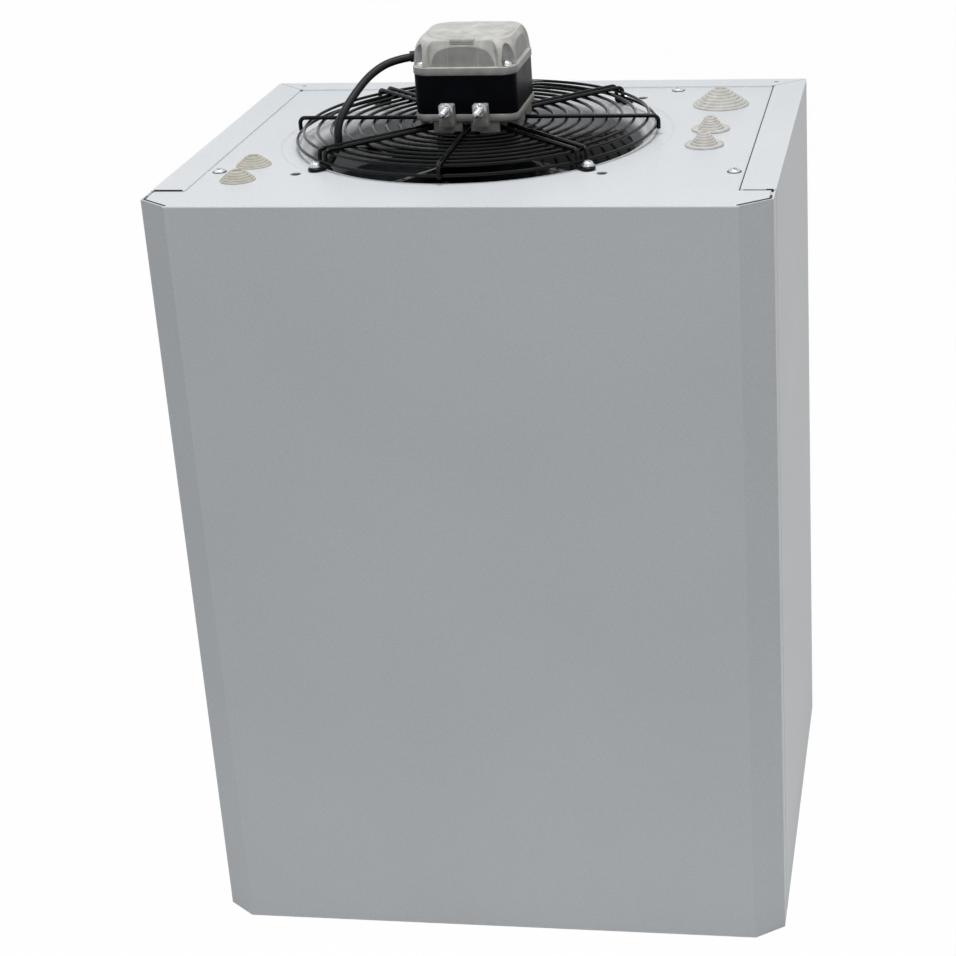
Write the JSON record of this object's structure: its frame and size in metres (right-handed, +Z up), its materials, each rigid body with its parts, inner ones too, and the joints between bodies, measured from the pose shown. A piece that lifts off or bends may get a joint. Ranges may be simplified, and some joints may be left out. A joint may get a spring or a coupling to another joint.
{
  "type": "unit cooler",
  "caption": "White sheet-metal unit cooler box with a finned coil at one end and a guarded axial fan with its motor on the other.",
  "frame": {"origin": "middle of the casing's footprint, on the surface that the unit stands on", "axes": "+Z up towards the fan face, +X to the right of the front panel, +Y to the back, which is the hanging side"},
  "size_m": [0.56, 0.465, 0.8346],
  "materials": {
    "soft_rubber": "soft pale grey rubber",
    "grey_plastic": "moulded grey plastic",
    "black_rubber": "matt black rubber",
    "white_paint": "semi-gloss white powder coat on folded sheet steel",
    "galvanised": "plain galvanised sheet",
    "fin_aluminium": "mill finish aluminium fins",
    "copper": "bright copper tube",
    "stainless": "stainless heater sheath",
    "brass_body": "machined brass",
    "black_wire": "gloss black coating on welded steel wire",
    "black_blade": "glossy black paint on the fan wheel",
    "zinc": "bright zinc-plated steel",
    "steel": "plain machined steel",
    "black_body": "gloss black motor body",
    "die_cast": "as-cast aluminium, slightly warm grey",
    "laminations": "stacked electrical steel sheet"
  },
  "bodies": {
    "casing": {"cable_entry_grommets": "soft_rubber", "cable_gland": "grey_plastic", "cable_sleeve_motor": "black_rubber", "cable_sleeve_panel": "black_rubber", "casing_shell": "white_paint", "coil_baffle": "galvanised", "coil_fin_block": "fin_aluminium", "coil_plate_left": "galvanised", "coil_plate_right": "galvanised", "coil_return_bends": "copper", "defrost_heaters": "stainless", "drain_pan": "galvanised", "expansion_valve": "brass_body", "fan_guard": "black_wire", "fan_panel": "white_paint", "front_panel": "white_paint", "guard_screws": "zinc", "guard_washers": "zinc", "line_entry_grommets": "soft_rubber", "liquid_distributor": "copper", "liquid_line": "copper", "motor_bearings": "steel", "motor_body": "black_body", "motor_cable": "black_rubber", "motor_cap": "die_cast", "motor_cap_screws": "zinc", "motor_leg_screws": "zinc", "motor_leg_washers": "zinc", "motor_lower_cover": "die_cast", "motor_studs": "zinc", "panel_brackets": "galvanised", "panel_rail_left": "galvanised", "panel_rail_right": "galvanised", "panel_screws": "zinc", "seam_clips": "steel", "stator_core": "laminations", "stud_nuts": "zinc", "suction_line": "copper", "suction_line_grommet": "soft_rubber", "terminal_box": "grey_plastic", "terminal_box_lid": "grey_plastic"},
    "fan": {"fan_wheel": "black_blade", "motor_rotor": "laminations", "motor_shaft": "steel", "shaft_nut": "zinc", "shaft_washer": "zinc"}
  },
  "joints": [
    {"name": "fan_spin", "type": "hinge", "parent": "casing", "child": "fan", "pos_m": [-0.022, 0.019, 0.7135], "axis": [0, 0, 1], "continuous": true}
  ]
}
